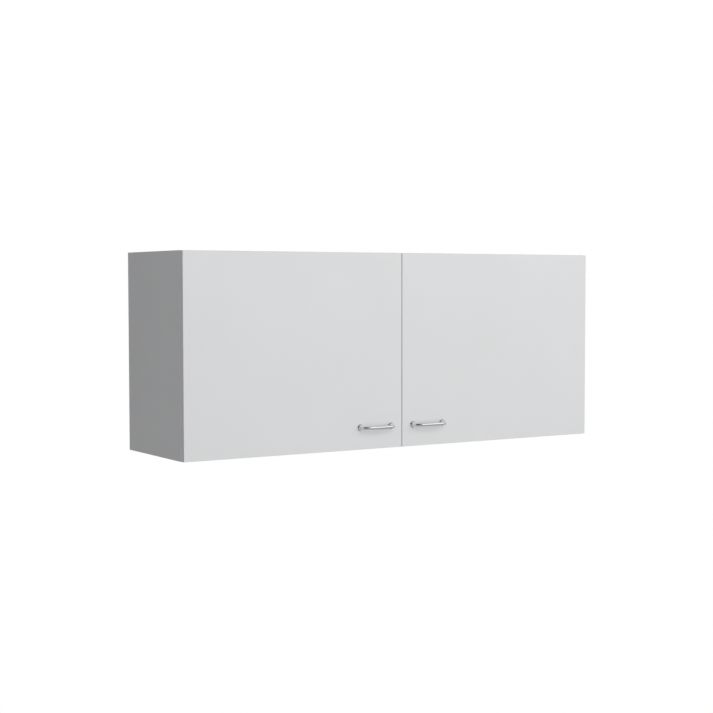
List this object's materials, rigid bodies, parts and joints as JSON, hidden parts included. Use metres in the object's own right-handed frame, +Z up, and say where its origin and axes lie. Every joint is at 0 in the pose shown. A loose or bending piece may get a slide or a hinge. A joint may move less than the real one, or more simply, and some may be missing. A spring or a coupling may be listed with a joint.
{
  "type": "wall cabinet",
  "caption": "Wide shallow wall cabinet with slab doors over the whole front, a chrome bow handle low at the middle of each door, cup hinges, shelves and cabinet hangers.",
  "frame": {"origin": "on the wall face, at the middle of the four wall screws, 55 mm below the top of the cabinet", "axes": "+X to the right along the front, +Y into the wall, +Z up; the doors face -Y"},
  "size_m": [1.2, 0.339, 0.485],
  "materials": {
    "board": "matte pale grey melamine board",
    "back_board": "white lacquered thin hardboard",
    "beech": "plain beech",
    "chrome": "polished",
    "nickel_steel": "nickel plated",
    "zinc": "zinc die casting",
    "white_plastic": "moulded, matte",
    "grey_plastic": "moulded, matte",
    "buffer": "clear soft pad"
  },
  "bodies": {
    "carcass": {"left_side_panel": "board", "right_side_panel": "board", "top_panel": "board", "bottom_panel": "board", "centre_partition": "board", "back_panel": "back_board", "left_shelf": "board", "right_shelf": "board", "shelf_pins": "nickel_steel", "dowels": "beech", "cam_bolts": "nickel_steel", "cam_locks": "zinc", "cam_caps": "grey_plastic", "partition_screws": "nickel_steel", "left_hanger_housing": "white_plastic", "right_hanger_housing": "white_plastic", "left_hanger_hook": "nickel_steel", "right_hanger_hook": "nickel_steel", "hanger_height_screws": "nickel_steel", "hanger_depth_screws": "nickel_steel", "left_wall_plate": "nickel_steel", "right_wall_plate": "nickel_steel", "hinge_plate_screws": "nickel_steel", "hinge_arm_screws": "nickel_steel", "hinge_arm_pins": "nickel_steel", "left_upper_hinge_plate": "nickel_steel", "left_upper_hinge_arm": "nickel_steel", "left_lower_hinge_plate": "nickel_steel", "left_lower_hinge_arm": "nickel_steel", "right_upper_hinge_plate": "nickel_steel", "right_upper_hinge_arm": "nickel_steel", "right_lower_hinge_plate": "nickel_steel", "right_lower_hinge_arm": "nickel_steel"},
    "left_outer_links": {"left_upper_hinge_outer_link": "nickel_steel", "left_lower_hinge_outer_link": "nickel_steel"},
    "left_inner_links": {"left_upper_hinge_inner_link": "nickel_steel", "left_lower_hinge_inner_link": "nickel_steel"},
    "left_door": {"left_door": "board", "left_door_buffers": "buffer", "left_handle_bar": "chrome", "left_handle_feet": "chrome", "left_handle_screws": "nickel_steel", "left_upper_hinge_cup": "nickel_steel", "left_lower_hinge_cup": "nickel_steel", "left_cup_screws": "nickel_steel", "left_cup_pins": "nickel_steel"},
    "right_outer_links": {"right_upper_hinge_outer_link": "nickel_steel", "right_lower_hinge_outer_link": "nickel_steel"},
    "right_inner_links": {"right_upper_hinge_inner_link": "nickel_steel", "right_lower_hinge_inner_link": "nickel_steel"},
    "right_door": {"right_door": "board", "right_door_buffers": "buffer", "right_handle_bar": "chrome", "right_handle_feet": "chrome", "right_handle_screws": "nickel_steel", "right_upper_hinge_cup": "nickel_steel", "right_lower_hinge_cup": "nickel_steel", "right_cup_screws": "nickel_steel", "right_cup_pins": "nickel_steel"}
  },
  "joints": [
    {"name": "left_outer_link_turn", "type": "hinge", "parent": "carcass", "child": "left_outer_links", "pos_m": [-0.5625, -0.27671, 0], "axis": [0, 0, -1], "range_deg": [-23.37, 0]},
    {"name": "left_inner_link_turn", "type": "hinge", "parent": "carcass", "child": "left_inner_links", "pos_m": [-0.5684, -0.3019, 0], "axis": [0, 0, -1], "range_deg": [-37.59, 0]},
    {"name": "left_door_swing", "type": "hinge", "parent": "left_outer_links", "child": "left_door", "pos_m": [-0.59022, -0.29968, 0], "axis": [0, 0, -1], "range_deg": [0, 118.37]},
    {"name": "right_outer_link_turn", "type": "hinge", "parent": "carcass", "child": "right_outer_links", "pos_m": [0.5625, -0.27671, 0], "axis": [0, 0, 1], "range_deg": [-23.37, 0]},
    {"name": "right_inner_link_turn", "type": "hinge", "parent": "carcass", "child": "right_inner_links", "pos_m": [0.5684, -0.3019, 0], "axis": [0, 0, 1], "range_deg": [-37.59, 0]},
    {"name": "right_door_swing", "type": "hinge", "parent": "right_outer_links", "child": "right_door", "pos_m": [0.59022, -0.29968, 0], "axis": [0, 0, 1], "range_deg": [0, 118.37]}
  ],
  "couplings": [
    {"joint": "left_outer_link_turn", "follows": "left_door_swing", "ratio": -0.1974},
    {"joint": "left_inner_link_turn", "follows": "left_door_swing", "ratio": -0.3176},
    {"joint": "right_outer_link_turn", "follows": "right_door_swing", "ratio": -0.1974},
    {"joint": "right_inner_link_turn", "follows": "right_door_swing", "ratio": -0.3176}
  ]
}
